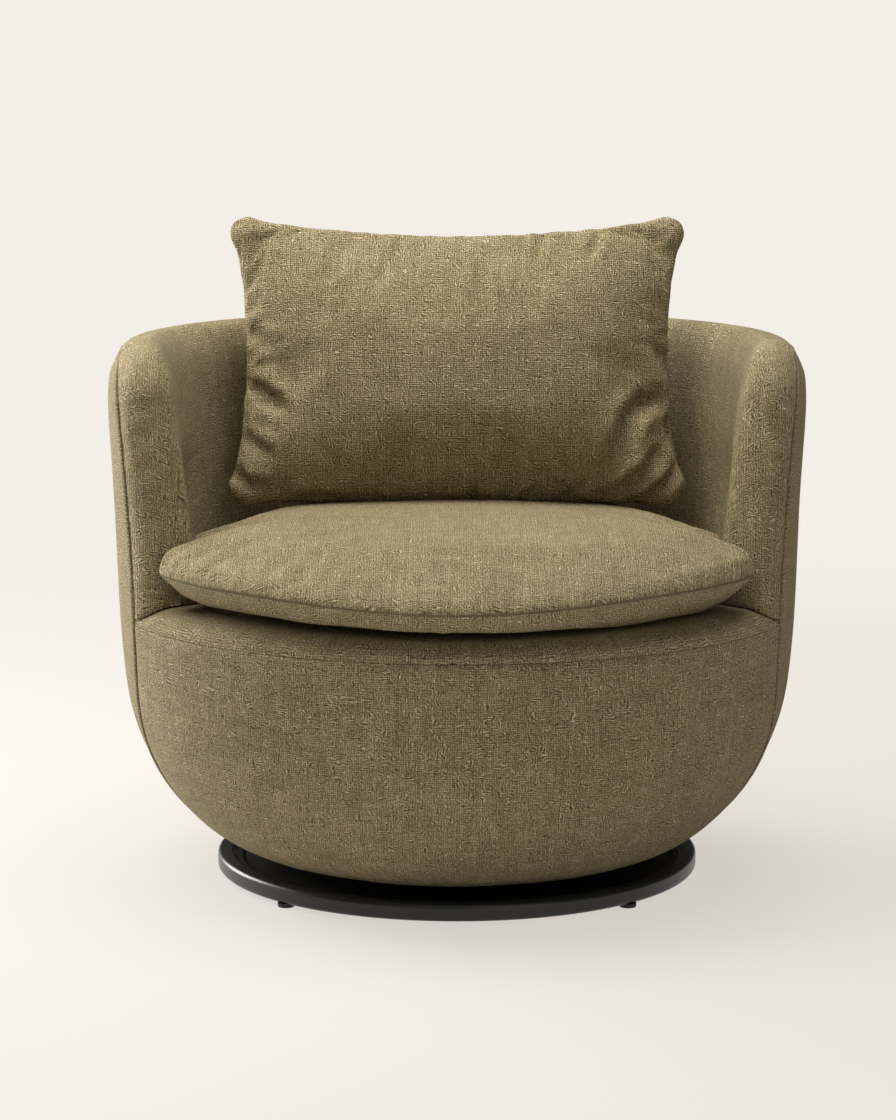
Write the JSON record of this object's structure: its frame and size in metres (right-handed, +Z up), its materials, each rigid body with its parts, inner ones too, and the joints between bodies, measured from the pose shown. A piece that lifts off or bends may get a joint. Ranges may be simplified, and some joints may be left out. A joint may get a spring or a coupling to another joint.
{
  "type": "swivel lounge chair",
  "caption": "Round upholstered tub chair with loose seat cushion and back pillow, turning on a ball bearing over a low black ring base.",
  "frame": {"origin": "on the floor under the swivel axis, in the middle of the chair's outline", "axes": "+Z up along the swivel axis, -Y towards where the sitter faces, +X to the right of someone who looks at the chair from the front"},
  "size_m": [0.8154, 0.8185, 0.7584],
  "materials": {
    "upholstery": "coarse olive tweed",
    "base_metal": "satin black",
    "bearing_steel": "zinc plated",
    "frame_wood": "bare plywood",
    "deck_foam": "cloth over foam",
    "dust_cloth": "black lining cloth",
    "black_plastic": "moulded nylon"
  },
  "bodies": {
    "base": {"base_ring": "base_metal", "base_pan": "base_metal", "lower_bearing_plate": "bearing_steel", "pivot_pin": "bearing_steel", "floor_glide_1": "black_plastic", "floor_glide_2": "black_plastic", "floor_glide_3": "black_plastic", "floor_glide_4": "black_plastic", "base_bolt_1": "bearing_steel", "base_bolt_2": "bearing_steel", "base_bolt_3": "bearing_steel", "base_bolt_4": "bearing_steel"},
    "ball_race": {"ball_cage": "black_plastic", "bearing_ball_01": "bearing_steel", "bearing_ball_02": "bearing_steel", "bearing_ball_03": "bearing_steel", "bearing_ball_04": "bearing_steel", "bearing_ball_05": "bearing_steel", "bearing_ball_06": "bearing_steel", "bearing_ball_07": "bearing_steel", "bearing_ball_08": "bearing_steel", "bearing_ball_09": "bearing_steel", "bearing_ball_10": "bearing_steel", "bearing_ball_11": "bearing_steel", "bearing_ball_12": "bearing_steel"},
    "tub": {"outer_panel": "upholstery", "front_panel": "upholstery", "inner_panel": "upholstery", "deck_border": "upholstery", "upper_bearing_plate": "bearing_steel", "plate_screw_1": "bearing_steel", "plate_screw_2": "bearing_steel", "plate_screw_3": "bearing_steel", "plate_screw_4": "bearing_steel", "seat_spring_1": "bearing_steel", "seat_spring_2": "bearing_steel", "seat_spring_3": "bearing_steel", "seat_spring_4": "bearing_steel", "bottom_board": "frame_wood", "arm_post_left": "frame_wood", "arm_post_right": "frame_wood", "seat_ring": "frame_wood", "top_rail": "frame_wood", "spring_batten_front": "frame_wood", "spring_batten_back": "frame_wood", "front_rib_1": "frame_wood", "front_rib_2": "frame_wood", "front_rib_3": "frame_wood", "back_rib_1": "frame_wood", "back_rib_2": "frame_wood", "back_rib_3": "frame_wood", "back_rib_4": "frame_wood", "back_rib_5": "frame_wood", "deck_pad": "deck_foam", "dust_cover": "dust_cloth"},
    "cushion": {"seat_cushion": "upholstery"},
    "pillow": {"back_pillow": "upholstery"}
  },
  "joints": [
    {"name": "swivel", "type": "hinge", "parent": "base", "child": "tub", "pos_m": [0, 0, 0.03], "axis": [0, 0, 1], "continuous": true},
    {"name": "cage_spin", "type": "hinge", "parent": "base", "child": "ball_race", "pos_m": [0, 0, 0.0246], "axis": [0, 0, 1], "continuous": true},
    {"name": "cushion_lift", "type": "slide", "parent": "tub", "child": "cushion", "axis": [0, 0, 1], "range_m": [0, 0.35]},
    {"name": "pillow_lift", "type": "slide", "parent": "cushion", "child": "pillow", "axis": [0, 0, 1], "range_m": [0, 0.3]}
  ],
  "couplings": [
    {"joint": "cage_spin", "follows": "swivel", "ratio": 0.5}
  ]
}
